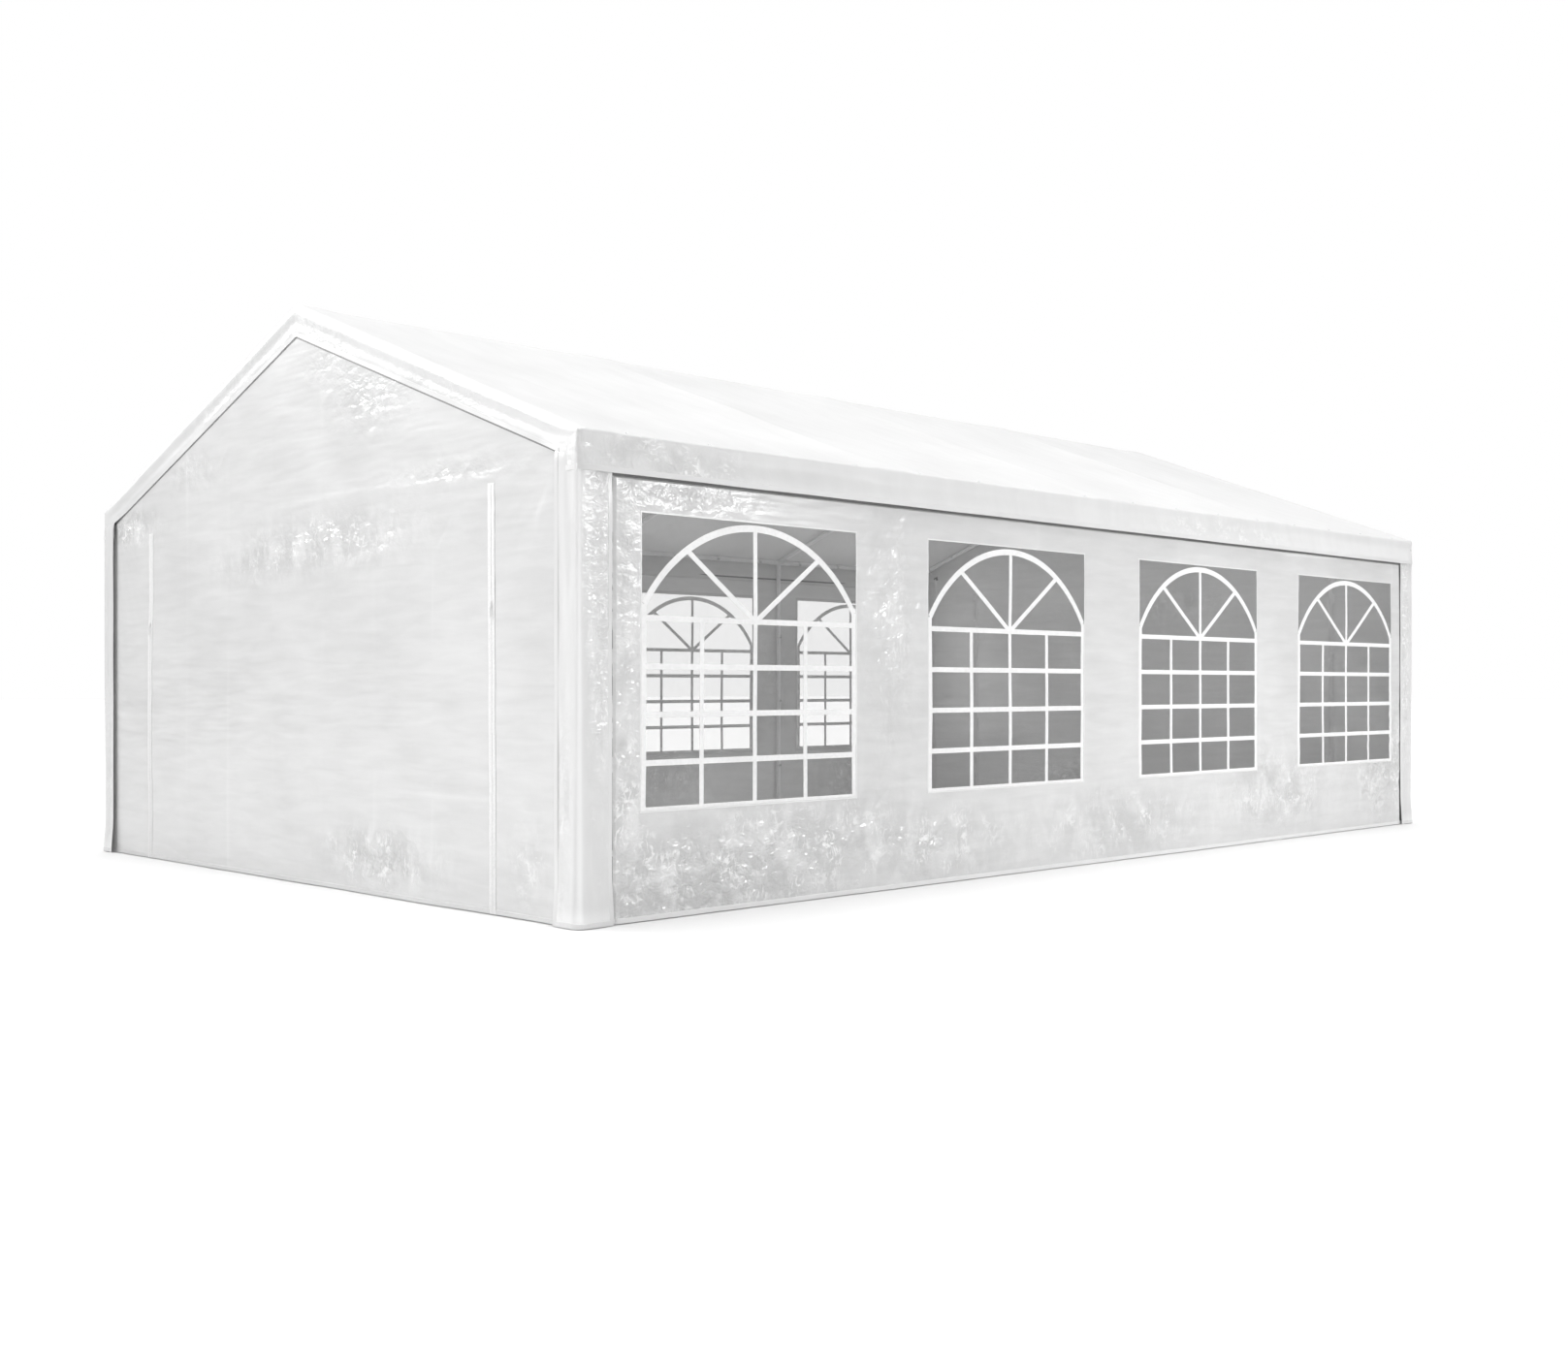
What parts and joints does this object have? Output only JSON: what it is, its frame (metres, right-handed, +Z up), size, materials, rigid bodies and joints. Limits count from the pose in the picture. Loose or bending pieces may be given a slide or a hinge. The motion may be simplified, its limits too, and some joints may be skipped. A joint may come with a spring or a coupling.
{
  "type": "marquee tent",
  "caption": "Gabled party tent: woven sheet roof and walls with arched clear windows and zipped end doors, over a plug-together steel tube frame.",
  "frame": {"origin": "on the ground, at the centre of the plan", "axes": "+Z up, +Y along the ridge from the front gable to the back gable, +X towards the pictured window wall"},
  "size_m": [4.9, 8, 3.08],
  "materials": {
    "roof_cloth": "satin white coated woven sheet",
    "wall_cloth": "satin white coated woven sheet",
    "window_film": "clear flexible film",
    "steel_tube": "light grey coated steel"
  },
  "bodies": {
    "root": {"back_door_flap": "wall_cloth", "back_left_corner_cover": "roof_cloth", "back_right_corner_cover": "roof_cloth", "back_wall": "wall_cloth", "front_door_flap": "wall_cloth", "front_left_corner_cover": "roof_cloth", "front_right_corner_cover": "roof_cloth", "front_wall": "wall_cloth", "left_eave_bar_1": "steel_tube", "left_eave_bar_2": "steel_tube", "left_eave_bar_3": "steel_tube", "left_eave_bar_4": "steel_tube", "left_post_1": "steel_tube", "left_post_2": "steel_tube", "left_post_3": "steel_tube", "left_post_4": "steel_tube", "left_post_5": "steel_tube", "left_wall": "wall_cloth", "left_window_1": "window_film", "left_window_2": "window_film", "left_window_3": "window_film", "left_window_4": "window_film", "ridge_bar_1": "steel_tube", "ridge_bar_2": "steel_tube", "ridge_bar_3": "steel_tube", "ridge_bar_4": "steel_tube", "right_eave_bar_1": "steel_tube", "right_eave_bar_2": "steel_tube", "right_eave_bar_3": "steel_tube", "right_eave_bar_4": "steel_tube", "right_post_1": "steel_tube", "right_post_2": "steel_tube", "right_post_3": "steel_tube", "right_post_4": "steel_tube", "right_post_5": "steel_tube", "right_wall": "wall_cloth", "right_window_1": "window_film", "right_window_2": "window_film", "right_window_3": "window_film", "right_window_4": "window_film", "roof_cover": "roof_cloth", "truss_1": "steel_tube", "truss_2": "steel_tube", "truss_3": "steel_tube", "truss_4": "steel_tube", "truss_5": "steel_tube"}
  },
  "joints": []
}
